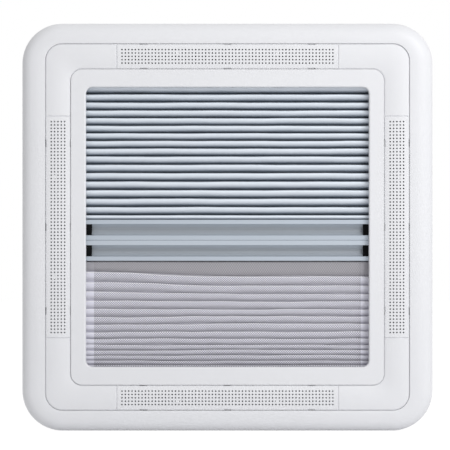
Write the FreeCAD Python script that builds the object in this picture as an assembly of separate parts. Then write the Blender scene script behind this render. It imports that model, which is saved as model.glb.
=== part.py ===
import FreeCAD, Part
import math
import os

# Ceiling-side frame of a 400 mm roof vent, with a pleated blackout blind and a pleated insect screen.
# Millimetres. +X is right, +Z is towards the blackout end, and -Y faces the room.
# y = 0 is the ceiling, where the back rim of the bezel rests. The origin is the centre of that rim.
V = FreeCAD.Vector

# ---- outlines seen from the room, from the opening outwards ----
opening_width = 338.6
opening_height = 334.6
opening_corner = 8.0
inner_band_x = 18.4            # flat inner frame, left and right
inner_band_z = 21.9            # flat inner frame, top and bottom
inner_seam_corner = 14.0
cover_band = 29.7              # ring of grilles and corner covers
outer_seam_corner = 20.0
bezel_band_x = 28.6
bezel_band_z = 25.1
outer_corner = 48.0
seam_gap = 0.9
grille_length = 265.0
past = 1.0                     # cuts run past the faces that they open by this

# ---- depths ----
face_depth = 22.0              # bezel face in front of the ceiling
inner_face_drop = 1.5          # inner frame face behind the bezel face
channel_depth = 8.0            # channel floor behind the bezel face
floor = 2.5
wall = 2.2
roll_radius = 15.0             # rolled outer edge
roll_crown_width = 9.0         # gentle crown between the roll and the flat face
roll_crown_drop = 1.0
cover_crown = 1.5              # height of the covers' crown above its chord
cover_edge_drop = 0.6          # the covers' edges lie behind the faces beside them by this
crown_facets = 2
cover_edge_round = 1.2
edge_break = 0.6
lip_round = 2.0
lip_facets = 2

# ---- bezel details ----
rib_thickness = 1.8
rib_count = 3                  # stiffening ribs behind each side of the bezel
rib_setback = 1.0
standoff_width = 11.0
screw_hole = 2.25              # radius of the fixing holes
standoff_spacing = 120.0
standoff_inset = 9.4           # from the outer seam to the fixing holes
window_length = 80.0           # air slits in the channel floor, out of sight beside the grilles' holes
window_width = 2.0
window_from_skirt = 0.2
window_places = (-50.0, 50.0)

# ---- snap tabs on the grilles ----
tab_spacing = 100.0
tab_width = 10.0
tab_thickness = 1.6
tab_barb = 0.7
tab_lead = 1.2
tab_clearance = 0.3
notch_depth = 0.6
hook_places = (-100.0, 100.0)  # hooks of the inner frame
hook_catch = 1.0
hook_height = 1.1

# ---- blind mechanism ----
run_gap = 0.4                  # bar to guide rail, front and back
rail_leg = 1.4
rail_web = 1.8
rail_front_cover = 4.4         # from the opening's edge to the rail's front leg
rail_rear_reach = 9.6          # rear leg reaches past the opening's edge towards the middle
rail_web_inset = 15.0          # from the opening's edge to the web
bar_depth = 12.0
bar_height = 24.4
bar_wall = 1.3
bar_edge = 0.5
grip_height = 13.8             # finger groove along each bar
grip_depth = 7.2
grip_offset = 0.1
grip_round = 2.4
bar_gap = 0.6                  # between the two bars where they meet
meeting_z = -15.8              # where the two bars meet as drawn
glide_head = 7.4
glide_play = 0.5               # glide to the rail's web
glide_plug_visible = 6.7
spigot_length = 10.0
spigot_play = 0.15
slit = 1.8
end_rail_height = 11.6
end_rail_hide = 14.1           # from the opening's edge to the head or foot rail
end_rail_play = 0.4
retainer_width = 5.0
retainer_thickness = 1.0
retainer_gap = 0.15

# ---- fabrics ----
fabric_edge = 1.8              # from the fabric's side to the web
fabric_gap = 0.35              # from a fabric's end to the rail or bar that holds it
fabric_front_room = 0.9        # folds stay behind the bar's front by this
fabric_back_room = 0.7
fabric_thickness = 1.1
blackout_folds = 18
blackout_last_fold = 7.6       # the fold next to the bar is drawn in
screen_folds = 18
screen_first_fold = 12.6       # the fold next to the bar. The folds get closer towards the foot rail
fold_shape = ((0.72, 0.26), (1.0, 0.54), (0.66, 0.83))   # shares of a fold's (depth, height)

# ---- collar ----
collar_wall = 2.4
collar_room = 9.5              # from the guide rail's web to the collar
collar_room_z = 2.6            # from the head or foot rail to the collar
collar_corner = 14.0
collar_end = 30.0
collar_lead = 1.2
ear_width = 16.0
ear_thickness = 3.0
ear_beyond = 13.5              # from a grille's end to the ear's screw
ear_border = 2.0               # round the screw's head
ear_rise = 9.0                 # height of the gusset beside the screw
ear_inset = 11.4               # from the outer seam to the ear's screw
clamp_rib = 3.0
clamp_foot = 7.0
clamp_places = (-145.0, 7.5, 145.0)   # the middle one stands beside a grille's tab

# ---- assembly screws ----
shank = 1.6                    # radius
shank_clearance = 0.05         # shank to its pilot hole
passage = 0.2                  # shank to a hole that it only passes through
screw_sides = 6                # small screws and their holes are drawn with flats
pan_head = 3.0
pan_head_height = 2.2
collar_boss_width = 8.0
collar_boss_height = 4.0
rail_screw_inset = 5.8         # from the head rail's inner face to its screws
rail_screw_from_web = 5.0
rail_screw_reach = 4.5         # shank below the rail's rear leg
screw_stop = 1.0               # a collar screw ends short of the boss's face

# ---- worked out from the sizes above ----
opening_x = opening_width / 2
opening_z = opening_height / 2
inner_seam_x = opening_x + inner_band_x
inner_seam_z = opening_z + inner_band_z
outer_seam_x = inner_seam_x + cover_band
outer_seam_z = inner_seam_z + cover_band
outer_x = outer_seam_x + bezel_band_x
outer_z = outer_seam_z + bezel_band_z
half_seam = seam_gap / 2

y_face = -face_depth
y_inner_face = y_face + inner_face_drop
y_floor = y_face + channel_depth
y_floor_back = y_floor + floor
y_rail = y_floor_back
y_channel = y_rail + rail_leg
y_bar = y_channel + run_gap
y_bar_back = y_bar + bar_depth
y_channel_back = y_bar_back + run_gap
y_rail_back = y_channel_back + rail_leg
y_fabric_slit = (y_bar + y_bar_back) / 2

web_x = opening_x + rail_web_inset
rail_outer_x = web_x + rail_web
end_rail_z = opening_z + end_rail_hide
end_rail_outer_z = end_rail_z + end_rail_height
collar_x = rail_outer_x + collar_room + collar_wall
collar_z = end_rail_outer_z + collar_room_z + collar_wall
rail_screw_x = web_x - rail_screw_from_web
bar_end_x = web_x - glide_play - glide_head
ear_place = grille_length / 2 + ear_beyond
standoff_x = outer_seam_x - standoff_inset
standoff_z = outer_seam_z - standoff_inset
ear_z = outer_seam_z - ear_inset
blind_bar_z = meeting_z + bar_gap / 2
screen_bar_z = meeting_z - bar_gap / 2 - bar_height
SIDES = ("top", "bottom", "left", "right")


def box(x0, x1, y0, y1, z0, z1):
    return Part.makeBox(x1 - x0, y1 - y0, z1 - z0, V(x0, y0, z0))


def outline(half_x, half_z, radius, y):
    """Rounded rectangle at depth y, starting at the lower end of its right side."""
    cx = half_x - radius
    cz = half_z - radius
    diagonal = radius * math.sqrt(0.5)
    edges = []
    corners = ((cx, cz, 1, 1), (-cx, cz, -1, 1), (-cx, -cz, -1, -1), (cx, -cz, 1, -1))
    start = V(half_x, y, -cz)
    for x, z, sx, sz in corners:
        first, last = V(x + sx * radius, y, z), V(x, y, z + sz * radius)
        if sx != sz:
            first, last = last, first
        edges.append(Part.LineSegment(start, first).toShape())
        middle = V(x + sx * diagonal, y, z + sz * diagonal)
        edges.append(Part.Arc(first, middle, last).toShape())
        start = last
    return Part.Wire(edges)


def prism(half_x, half_z, radius, y0, y1):
    return Part.Face(outline(half_x, half_z, radius, y0)).extrude(V(0, y1 - y0, 0))


def ring(outer, inner, y0, y1):
    """Band between two (half_x, half_z, radius) outlines."""
    return prism(*outer, y0, y1).cut(prism(*inner, y0 - past, y1 + past))


def swept_ring(half_x, half_z, radius, section):
    """Carries a closed section, drawn as (outward offset, y) edges, round a rounded rectangle."""
    cx, cz = half_x - radius, half_z - radius
    pieces = []
    for half, centre, angle in ((half_x, cz, 0), (half_z, cx, -90), (half_x, cz, 180), (half_z, cx, 90)):
        face = Part.Face(section)
        face.translate(V(half, 0, -centre))
        run = face.extrude(V(0, 0, 2 * centre))
        run.rotate(V(0, 0, 0), V(0, 1, 0), angle)
        pieces.append(run)
    for sign_x, sign_z, angle in ((1, 1, 0), (-1, 1, -90), (-1, -1, 180), (1, -1, 90)):
        face = Part.Face(section)
        face.translate(V(radius, 0, 0))
        corner = face.revolve(V(0, 0, 0), V(0, -1, 0), 90)
        corner.rotate(V(0, 0, 0), V(0, 1, 0), angle)
        corner.translate(V(sign_x * cx, 0, sign_z * cz))
        pieces.append(corner)
    return pieces[0].multiFuse(pieces[1:]).removeSplitter()


def section_wire(parts):
    """Wire in the XY plane. A part of 2 points is a line, and one of 3 points is an arc."""
    edges = []
    for points in parts:
        at = [V(u, y, 0) for u, y in points]
        curve = Part.LineSegment(*at) if len(at) == 2 else Part.Arc(*at)
        edges.append(curve.toShape())
    return Part.Wire(edges)


def bar_section(points, x0, x1):
    """Prism along X of a closed (y, z) outline."""
    corners = [V(x0, y, z) for y, z in points]
    return Part.Face(Part.makePolygon(corners + corners[:1])).extrude(V(x1 - x0, 0, 0))


def rod(radius, x, z, y0, y1):
    return Part.makeCylinder(radius, y1 - y0, V(x, y0, z), V(0, 1, 0))


def faceted_rod(radius, x, z, y0, y1):
    """Rod with flats. Its corners lie on the true radius."""
    turns = [2 * math.pi * n / screw_sides for n in range(screw_sides)]
    corners = [V(x + radius * math.cos(a), y0, z + radius * math.sin(a)) for a in turns]
    return Part.Face(Part.makePolygon(corners + corners[:1])).extrude(V(0, y1 - y0, 0))


def turned(shape, side):
    """Turns a shape drawn for the top side on to another side, about the Y axis."""
    angle = {"top": 0, "left": -90, "bottom": 180, "right": 90}[side]
    result = shape.copy()
    result.rotate(V(0, 0, 0), V(0, 1, 0), angle)
    return result


def side_distance(side, x_distance, z_distance):
    """How far a feature of this side lies from the centre."""
    return z_distance if side in ("top", "bottom") else x_distance


def fuse_all(base, additions):
    return base.multiFuse(additions).removeSplitter() if additions else base


def round_edges(shape, radius, wanted):
    edges = [e for e in shape.Edges if wanted(e)]
    return shape.makeFillet(radius, edges) if edges else shape


def break_edges(shape, size, wanted):
    edges = [e for e in shape.Edges if wanted(e)]
    return shape.makeChamfer(size, edges)


def at_depth(edge, y):
    return abs(edge.BoundBox.YMin - y) < 1e-4 and abs(edge.BoundBox.YMax - y) < 1e-4


def clean(shape):
    solids = shape.Solids
    return solids[0] if len(solids) == 1 else Part.makeCompound(solids)


def along_side(side, places, distance):
    """Centres (x, z) of features at these places along a side."""
    points = []
    for place in places:
        if side in ("top", "bottom"):
            points.append((place, distance if side == "top" else -distance))
        else:
            points.append((distance if side == "right" else -distance, place))
    return points


def screw_points(places, x_distance, z_distance):
    points = []
    for side in SIDES:
        points += along_side(side, places, side_distance(side, x_distance, z_distance))
    return points


# ---- bezel: rolled outer edge, channel for the covers, floor, standoffs and ribs ----
def roll_crown_radius():
    return (roll_crown_width ** 2 + roll_crown_drop ** 2) / (2 * roll_crown_drop)


def roll_slope():
    """Angle at which the gentle crown meets the rolled edge."""
    return math.asin(roll_crown_width / roll_crown_radius())


def roll_section():
    """Outer skin: upright rim, rolled edge, gentle crown, then flat as far as the seam."""
    crown_radius = roll_crown_radius()
    slope = roll_slope()
    y_roll = y_face + roll_crown_drop
    roll_end = roll_radius * (1 - math.sin(slope))
    y_rim = y_roll + roll_radius * math.cos(slope)
    crown_end = roll_end + roll_crown_width
    flat_end = crown_end + wall

    def on_roll(angle, radius):
        return radius * math.sin(angle) - roll_radius, y_rim - radius * math.cos(angle)

    crown_centre = y_face + crown_radius
    middle = (math.pi / 2 + slope) / 2
    crown_middle = (-crown_end + crown_radius * math.sin(slope / 2),
                    crown_centre - crown_radius * math.cos(slope / 2))
    roll = [on_roll(math.pi / 2, roll_radius), on_roll(middle, roll_radius), on_roll(slope, roll_radius)]
    inside = [on_roll(angle, roll_radius - wall) for angle in (math.pi / 2, middle, slope)]
    return section_wire([
        [(0, 0), roll[0]],
        roll,
        [roll[2], crown_middle, (-crown_end, y_face)],
        [(-crown_end, y_face), (-flat_end, y_face)],
        [(-flat_end, y_face), (-flat_end, y_face + wall)],
        [(-flat_end, y_face + wall), (-crown_end, y_face + wall)],
        [(-crown_end, y_face + wall), inside[2]],
        [inside[2], inside[1]],
        [inside[1], inside[0]],
        [inside[0], (-wall, 0)],
        [(-wall, 0), (0, 0)],
    ])


def bezel_ribs():
    """Ribs between the rolled edge and the channel wall, one set on each side."""
    y_mid_roll = y_face + roll_crown_drop + roll_radius
    ribs = []
    for side in SIDES:
        edge = side_distance(side, outer_x, outer_z)
        start = side_distance(side, outer_seam_x, outer_seam_z) + half_seam + wall / 2
        run = side_distance(side, outer_z, outer_x) - outer_corner
        radius = roll_radius - wall / 2
        bend = [(y_mid_roll - radius * math.sin(a), edge - roll_radius + radius * math.cos(a))
                for a in (0, math.pi / 4, math.pi / 2 - roll_slope())]
        section = [(-rib_setback, start), (-rib_setback, edge - wall / 2)] + bend
        section += [(y_face + wall / 2, edge - roll_radius - roll_crown_width), (y_face + wall / 2, start)]
        for number in range(rib_count):
            place = -run + 2 * run * (number + 0.5) / rib_count
            rib = bar_section(section, place - rib_thickness / 2, place + rib_thickness / 2)
            ribs.append(turned(rib, side))
    return ribs


def build_bezel():
    skin = swept_ring(outer_x, outer_z, outer_corner, roll_section())
    flat_x = outer_x - roll_radius
    flat_z = outer_z - roll_radius
    seam = (outer_seam_x + half_seam, outer_seam_z + half_seam, outer_seam_corner + half_seam)
    channel_outer = tuple(size + wall for size in seam)
    lip_room = wall + tab_clearance
    floor_inner = (opening_x + lip_room, opening_z + lip_room, opening_corner + lip_room)
    face = ring((flat_x, flat_z, outer_corner - roll_radius), seam, y_face, y_face + wall)
    channel = ring(channel_outer, seam, y_face, y_floor_back)
    shelf = ring(channel_outer, floor_inner, y_floor, y_floor_back)
    half = standoff_width / 2
    standoffs = [box(x - half, x + half, y_floor_back, 0, z - half, z + half) for x, z in fixing_points()]
    half = collar_boss_width / 2
    bosses = [box(x - half, x + half, y_floor - collar_boss_height, y_floor, z - half, z + half)
              for x, z in ear_points()]
    body = fuse_all(skin, [face, channel, shelf] + bezel_ribs() + standoffs + bosses)
    cuts = [rod(screw_hole, x, z, y_floor - past, past) for x, z in fixing_points()]
    for x, z in ear_points():
        cuts.append(faceted_rod(shank + shank_clearance, x, z, y_floor - collar_boss_height - past, 0))
    for side in SIDES:
        low = tab_bands(side)[0] + wall + window_from_skirt
        for place in window_places:
            window = box(place - window_length / 2, place + window_length / 2,
                         y_floor - past, y_floor_back + past, low, low + window_width)
            cuts.append(turned(window, side))
        cuts += [turned(slot, side) for slot in tab_slots(side)]
    body = body.cut(Part.makeCompound(cuts))
    return break_edges(clean(body), edge_break, lambda e: at_depth(e, y_face) and in_outline(e, seam))


def in_outline(edge, size):
    """True for an edge that lies on a rounded rectangle or inside it."""
    bound = edge.BoundBox
    slack = 1e-3
    inside_x = max(abs(bound.XMin), abs(bound.XMax)) < size[0] + slack
    return inside_x and max(abs(bound.ZMin), abs(bound.ZMax)) < size[1] + slack


def ear_points():
    return [(x, z) for x in (-ear_place, ear_place) for z in (-ear_z, ear_z)]


def fixing_points():
    half = standoff_spacing / 2
    return screw_points((-half, half), standoff_x, standoff_z)


def tab_bands(side):
    """Inner and outer edge of the two skirts of a grille."""
    inner = side_distance(side, inner_seam_x, inner_seam_z) + half_seam
    outer = side_distance(side, outer_seam_x, outer_seam_z) - half_seam
    return inner, outer


def tab_slots(side):
    inner, outer = tab_bands(side)
    half = tab_width / 2 + tab_clearance
    deep = tab_thickness + tab_barb + 2 * tab_clearance
    slots = []
    for place in (-tab_spacing, 0, tab_spacing):
        for edge, sign in ((inner, 1), (outer, -1)):
            near = edge - sign * (tab_clearance - half_seam / 2)
            far = near + sign * deep
            slots.append(box(place - half, place + half, y_floor - past, y_floor_back + past,
                             min(near, far), max(near, far)))
    return slots


# ---- ring of covers: crowned lids that sit in the channel ----
def cover_ring():
    """The whole crowned ring, before it is divided into grilles and corner covers."""
    width = cover_band - seam_gap
    y_low = y_inner_face + cover_edge_drop
    y_high = y_face + cover_edge_drop
    rise = y_high - y_low
    chord = math.hypot(width - cover_edge_round, rise)
    crown_radius = (chord ** 2 / 4 + cover_crown ** 2) / (2 * cover_crown)
    tilt = math.atan2(rise, width - cover_edge_round)
    spread = math.asin(chord / 2 / crown_radius)
    centre = (cover_edge_round + crown_radius * math.sin(spread - tilt),
              y_low + crown_radius * math.cos(spread - tilt))
    turns = [tilt - spread + 2 * spread * n / crown_facets for n in range(crown_facets + 1)]
    crown = [(centre[0] + crown_radius * math.sin(a), centre[1] - crown_radius * math.cos(a)) for a in turns]
    (u1, y1), (u2, y2) = crown[-2:]
    beyond = width + cover_band
    crown[-1] = (beyond, y2 + (beyond - u2) * (y2 - y1) / (u2 - u1))
    points = [(0, y_floor), (0, y_low + cover_edge_round)] + crown + [(beyond, y_floor)]
    section = section_wire(list(zip(points, points[1:] + points[:1])))
    crowned = swept_ring(inner_seam_x + half_seam, inner_seam_z + half_seam,
                         inner_seam_corner + half_seam, section)
    return crowned.common(prism(*cover_outer(0), y_face - 2 * cover_crown - past, 0))


def cover_outer(inset):
    shrink = half_seam + inset
    return outer_seam_x - shrink, outer_seam_z - shrink, outer_seam_corner - shrink


def cover_inner(inset):
    grow = half_seam + inset
    return inner_seam_x + grow, inner_seam_z + grow, inner_seam_corner + grow


def cover_hollow(zone):
    """Space under a cover, inside its skirts. zone(inset) is the cover's own share of the ring."""
    y_under = y_inner_face + wall
    return ring(cover_outer(wall), cover_inner(wall), y_under, y_floor + past).common(zone(wall))


def build_corner_cover(sign_x, sign_z):
    start = grille_length / 2 + half_seam

    def zone(inset):
        near = start + inset
        x0, x1 = sorted((sign_x * near, sign_x * outer_x))
        z0, z1 = sorted((sign_z * near, sign_z * outer_z))
        return box(x0, x1, y_face - roll_radius, past, z0, z1)

    return clean(cover_ring().common(zone(0)).cut(cover_hollow(zone)))


def build_grille(side):
    half = grille_length / 2 - half_seam
    side_reach = side_distance(side, outer_x, outer_z)

    def zone(inset):
        block = box(-half + inset, half - inset, y_face - roll_radius, past, 0, side_reach)
        return turned(block, side)

    strip = cover_ring().common(zone(0)).cut(cover_hollow(zone))
    inner, outer = tab_bands(side)
    tabs, notches = [], []
    for place in (-tab_spacing, 0, tab_spacing):
        for edge, sign in ((inner, 1), (outer, -1)):
            near, far = edge + sign * tab_clearance, edge + sign * (tab_clearance + tab_thickness)
            left, right = place - tab_width / 2, place + tab_width / 2
            y_barb = y_floor_back + tab_clearance / 3
            y_tip = y_barb + tab_lead
            leaf = box(left, right, y_floor - past, y_tip, min(near, far), max(near, far))
            hook = far + sign * tab_barb
            catch = bar_section([(y_barb, far), (y_barb, hook), (y_tip, far)], left, right)
            tabs += [turned(leaf, side), turned(catch, side)]
            cut = sorted((edge - sign * past, edge + sign * notch_depth))
            notch = box(left, right, y_face - 2 * cover_crown, y_inner_face + wall, *cut)
            notches.append(turned(notch, side))
    strip = strip.cut(Part.makeCompound(notches))
    return clean(fuse_all(strip, tabs))


# ---- inner frame: flat plate round the opening. Hooks on its lip catch behind the channel floor ----
def build_inner_frame():
    outer = (inner_seam_x - half_seam, inner_seam_z - half_seam, inner_seam_corner - half_seam)
    hole = (opening_x, opening_z, opening_corner)
    outer_skirt = tuple(size - wall for size in outer)
    lip = tuple(size + wall for size in hole)
    plate = ring(outer, tuple(size + lip_round for size in hole), y_inner_face, y_inner_face + wall)
    skirt = ring(outer, outer_skirt, y_inner_face, y_floor)
    turns = [math.pi / 2 * n / lip_facets for n in range(lip_facets + 1)]
    front = [(lip_round * (1 - math.cos(a)), y_inner_face + lip_round * (1 - math.sin(a))) for a in turns]
    points = [(0, y_floor_back)] + front + [(lip_round, y_inner_face + wall), (wall, y_inner_face + wall),
                                            (wall, y_floor_back)]
    neck = swept_ring(*hole, section_wire(list(zip(points, points[1:] + points[:1]))))
    hooks = []
    y_catch = y_floor_back + shank_clearance
    for side in SIDES:
        back = side_distance(side, *lip[:2])
        tip = back + tab_clearance + hook_catch
        for place in hook_places:
            low, high = place - tab_width / 2, place + tab_width / 2
            y_end = y_catch + hook_height
            hook = bar_section([(y_catch, back - wall), (y_catch, tip), (y_end, back), (y_end, back - wall)],
                               low, high)
            stem = box(low, high, y_floor_back - wall, y_catch, back - wall, back)
            hooks += [turned(hook, side), turned(stem, side)]
    body = clean(fuse_all(plate, [skirt, neck] + hooks))
    near_hole = (opening_x + lip_round + past, opening_z + lip_round + past)
    return break_edges(body, edge_break, lambda e: at_depth(e, y_inner_face) and not in_outline(e, near_hole))


# ---- collar: goes into the roof cut-out and clamps the guide rails on the bezel ----
def build_collar():
    outer = (collar_x, collar_z, collar_corner)
    inner = tuple(size - collar_wall for size in outer)
    tube = ring(outer, inner, y_floor_back, collar_end)
    tube = break_edges(tube, collar_lead, lambda e: at_depth(e, collar_end) and not in_outline(e, inner))
    extras = []
    for side in ("top", "bottom"):
        for place in (-ear_place, ear_place):
            extras += [turned(piece, side) for piece in build_ear(place, collar_z - collar_wall / 2)]
    for sign in (-1, 1):
        for place in clamp_places:
            extras += clamp_ribs(sign, place)
    holes = [faceted_rod(shank + passage, x, z, y_floor_back - past, 0) for x, z in ear_points()]
    return clean(fuse_all(tube, extras).cut(Part.makeCompound(holes)))


def build_ear(place, wall_at):
    """Screw ear with tapered shoulders, and the gusset beside its screw."""
    half, tip = ear_width / 2, ear_z + pan_head + ear_border
    corners = [V(place - half, y_floor_back, wall_at), V(place + half, y_floor_back, wall_at),
               V(place + half, y_floor_back, ear_z), V(place + half / 2, y_floor_back, tip),
               V(place - half / 2, y_floor_back, tip), V(place - half, y_floor_back, ear_z)]
    ear = Part.Face(Part.makePolygon(corners + corners[:1])).extrude(V(0, ear_thickness, 0))
    gusset = bar_section([(y_floor_back, wall_at), (y_floor_back, ear_z - pan_head),
                          (y_floor_back + ear_rise, wall_at)],
                         place + half - collar_wall, place + half)
    return ear, gusset


def clamp_ribs(sign, place):
    """Rib that holds a guide rail sideways, with a foot that presses on the rail's rear leg."""
    z0, z1 = place - clamp_rib / 2, place + clamp_rib / 2
    wall_in = collar_x - collar_wall / 2
    stem = box(rail_outer_x, wall_in, y_floor_back, y_rail_back, z0, z1)
    foot = box(rail_outer_x - clamp_foot, wall_in, y_rail_back, y_rail_back + clamp_rib, z0, z1)
    tip = rail_outer_x - clamp_foot
    corners = [V(wall_in, y_rail_back + clamp_rib, z0), V(tip + clamp_rib, y_rail_back + clamp_rib, z0),
               V(wall_in, y_rail_back + 2 * clamp_foot, z0)]
    gusset = Part.Face(Part.makePolygon(corners + corners[:1])).extrude(V(0, 0, clamp_rib))
    pieces = [stem, foot, gusset]
    if sign > 0:
        return pieces
    return [piece.mirror(V(0, 0, 0), V(1, 0, 0)) for piece in pieces]


# ---- guide rails: aluminium channels at the sides that the bars and fabric edges run in ----
def build_guide_rail(sign):
    length = end_rail_outer_z
    web = box(web_x, rail_outer_x, y_rail, y_rail_back, -length, length)
    front = box(opening_x + rail_front_cover, rail_outer_x, y_rail, y_channel, -length, length)
    rear = box(opening_x - rail_rear_reach, rail_outer_x, y_channel_back, y_rail_back, -length, length)
    rail = fuse_all(web, [front, rear])
    holes = []
    for end in (-1, 1):
        z = end * (end_rail_z + rail_screw_inset)
        holes.append(faceted_rod(shank + passage, rail_screw_x, z, y_channel_back - past, y_rail_back + past))
    rail = clean(rail.cut(Part.makeCompound(holes)))
    return rail if sign > 0 else rail.mirror(V(0, 0, 0), V(1, 0, 0))


# ---- head and foot rails: fixed between the guide rails, each holds one fabric's end ----
def build_end_rail(sign):
    x = web_x - end_rail_play
    low, high = end_rail_z, end_rail_outer_z
    shell = box(-x, x, y_channel, y_channel_back, low, high)
    hollow = box(-x - past, x + past, y_channel + bar_wall, y_channel_back - bar_wall,
                 low + bar_wall, high - bar_wall)
    opening = box(-x - past, x + past, y_fabric_slit - slit / 2, y_fabric_slit + slit / 2,
                  low - past, low + bar_wall)
    rail = shell.cut(Part.makeCompound([hollow, opening]))
    ports, pilots = [], []
    half = shank + bar_wall
    y_port = y_fabric_slit + slit
    z = end_rail_z + rail_screw_inset
    for at in (-rail_screw_x, rail_screw_x):
        ports.append(box(at - half, at + half, y_port, y_channel_back - bar_wall / 2, z - half, z + half))
        pilots.append(faceted_rod(shank + shank_clearance, at, z, y_port - past, y_channel_back + past))
    rail = clean(fuse_all(rail, ports).cut(Part.makeCompound(pilots)))
    return rail if sign > 0 else rail.mirror(V(0, 0, 0), V(0, 0, 1))


# ---- pull bars: aluminium extrusions with a finger groove to the room and a slit for the fabric ----
def grip_floor():
    return y_bar + grip_depth


def groove_range(z0):
    low = z0 + (bar_height - grip_height) / 2 + grip_offset
    return low, low + grip_height


def build_bar(z0, slit_side):
    """z0 is the bar's lower face. slit_side is 1 if the fabric is above the bar, and -1 if it is below."""
    x = bar_end_x
    low, high = groove_range(z0)
    body = box(-x, x, y_bar, y_bar_back, z0, z0 + bar_height)
    groove = box(-x - past, x + past, y_bar - past, grip_floor(), low, high)
    groove = round_edges(groove, grip_round,
                         lambda e: abs(e.BoundBox.YMin - grip_floor()) < 1e-4 and e.BoundBox.XLength > x)
    y_in, y_out = y_bar + bar_wall, y_bar_back - bar_wall
    lower_lobe = box(-x - past, x + past, y_in, y_out, z0 + bar_wall, low - bar_wall)
    upper_lobe = box(-x - past, x + past, y_in, y_out, high + bar_wall, z0 + bar_height - bar_wall)
    back_room = box(-x - past, x + past, grip_floor() + bar_wall, y_out,
                    z0 + bar_wall, z0 + bar_height - bar_wall)
    z_slit = z0 + bar_height - bar_wall - past if slit_side > 0 else z0 - past
    opening = box(-x - past, x + past, y_fabric_slit - slit / 2, y_fabric_slit + slit / 2,
                  z_slit, z_slit + bar_wall + 2 * past)
    hollow = lower_lobe.multiFuse([upper_lobe, back_room]).removeSplitter()
    bar = clean(body.cut(Part.makeCompound([groove, hollow, opening])))
    return break_edges(bar, bar_edge, lambda e: at_depth(e, y_bar) and e.BoundBox.XLength > bar_end_x)


# ---- end glides: black plugs that close the groove's ends and run in the guide rails ----
def build_glide(z0, sign):
    low, high = groove_range(z0)
    head_end = web_x - glide_play
    head = box(bar_end_x, head_end, y_bar, y_bar_back, z0, z0 + bar_height)
    head = break_edges(head, edge_break, lambda e: e.BoundBox.XMin > head_end - 1e-3)
    plug_start = opening_x - glide_plug_visible
    fit = shank_clearance
    plug = box(plug_start, bar_end_x + past, y_bar + edge_break, grip_floor() - fit, low + fit, high - fit)
    plug = round_edges(plug, grip_round, lambda e: abs(e.BoundBox.YMin - grip_floor() + fit) < 1e-4
                       and e.BoundBox.XLength > 1 and e.BoundBox.ZLength < 1e-3)
    spigots = []
    for z1, z2 in ((z0 + bar_wall, low - bar_wall), (high + bar_wall, z0 + bar_height - bar_wall)):
        spigots.append(box(bar_end_x - spigot_length, bar_end_x + past, y_bar + bar_wall + spigot_play,
                           y_bar_back - bar_wall - spigot_play, z1 + spigot_play, z2 - spigot_play))
    glide = clean(fuse_all(head, [plug] + spigots))
    return glide if sign > 0 else glide.mirror(V(0, 0, 0), V(1, 0, 0))


# ---- retainers: flat strips behind each slit that keep a fabric's end from pulling out ----
def build_retainer(z_low, end_x):
    half = retainer_width / 2
    return box(-end_x, end_x, y_fabric_slit - half, y_fabric_slit + half, z_low, z_low + retainer_thickness)


# ---- fabrics: pleats with a rounded front and a sharp crease at the back ----
def pleated_sheet(creases):
    """Closed sheet through these crease heights, listed from the top down."""
    y_back = y_bar_back - fabric_back_room - fabric_thickness
    reach = y_back - y_bar - fabric_front_room
    x = web_x - fabric_edge
    line = [(y_back, creases[0])]
    for top, bottom in zip(creases, creases[1:]):
        line += [(y_back - depth * reach, top - share * (top - bottom)) for depth, share in fold_shape]
        line.append((y_back, bottom))
    behind = [(y + fabric_thickness, z) for y, z in reversed(line)]
    return bar_section(line + behind, -x, x)


def blackout_creases():
    top = end_rail_z - fabric_gap
    bottom = blind_bar_z + bar_height + fabric_gap
    pitch = (top - bottom - blackout_last_fold) / (blackout_folds - 1)
    return [top - pitch * n for n in range(blackout_folds)] + [bottom]


def screen_creases():
    """Folds that shrink evenly from the bar to the foot rail."""
    top = screen_bar_z - fabric_gap
    bottom = -end_rail_z + fabric_gap
    mean = (top - bottom) / screen_folds
    step = 2 * (screen_first_fold - mean) / (screen_folds - 1)
    heights = [top]
    for n in range(screen_folds):
        heights.append(heights[-1] - (screen_first_fold - step * n))
    return heights


# ---- assembly screws ----
def pan_screws(points, y_seat, reach):
    """Pan-head screws driven towards the room, with their heads on the roof side of y_seat."""
    screws = []
    for x, z in points:
        head = faceted_rod(pan_head, x, z, y_seat, y_seat + pan_head_height)
        stem = faceted_rod(shank, x, z, y_seat - reach, y_seat)
        screws.append(clean(head.fuse(stem).removeSplitter()))
    return Part.makeCompound(screws)


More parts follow.
